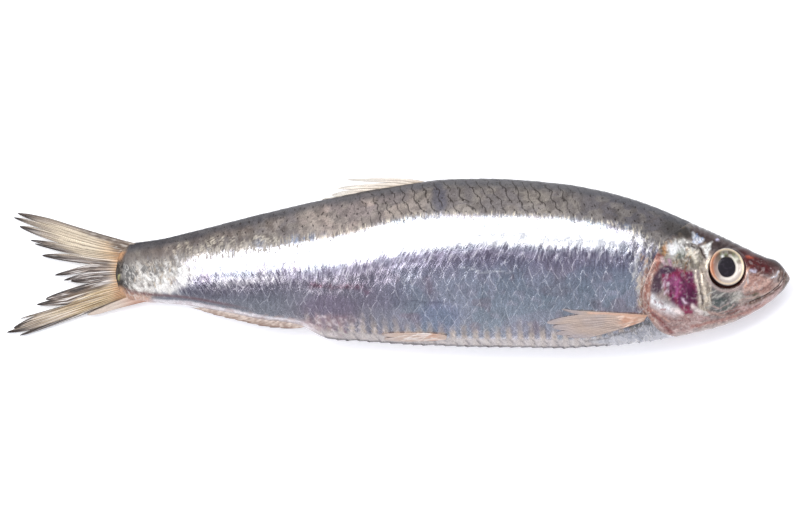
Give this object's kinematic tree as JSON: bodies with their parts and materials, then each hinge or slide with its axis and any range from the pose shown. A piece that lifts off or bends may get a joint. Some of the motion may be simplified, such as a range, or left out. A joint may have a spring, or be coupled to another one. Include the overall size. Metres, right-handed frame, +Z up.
{
  "type": "brisling",
  "caption": "Whole raw silvery fish lying on its side: deep keeled body, pointed head with jutting lower jaw, gill covers, folded fins and a frayed forked tail.",
  "frame": {"origin": "on the surface that the fish lies on, under the middle of its bounding box", "axes": "+X towards the snout, +Y towards the back, +Z up from the surface, out of the fish's right side"},
  "size_m": [0.12, 0.0259, 0.0115],
  "materials": {
    "skin": "wet silvery scaled skin: dark grey-brown back, mirror-bright band, blue-grey flank, pale keel",
    "eye": "wet clear eye with a pale cream and tan iris and a black pupil"
  },
  "bodies": {
    "root": {"brisling": "skin", "eye_right": "eye", "eye_left": "eye"}
  },
  "joints": []
}
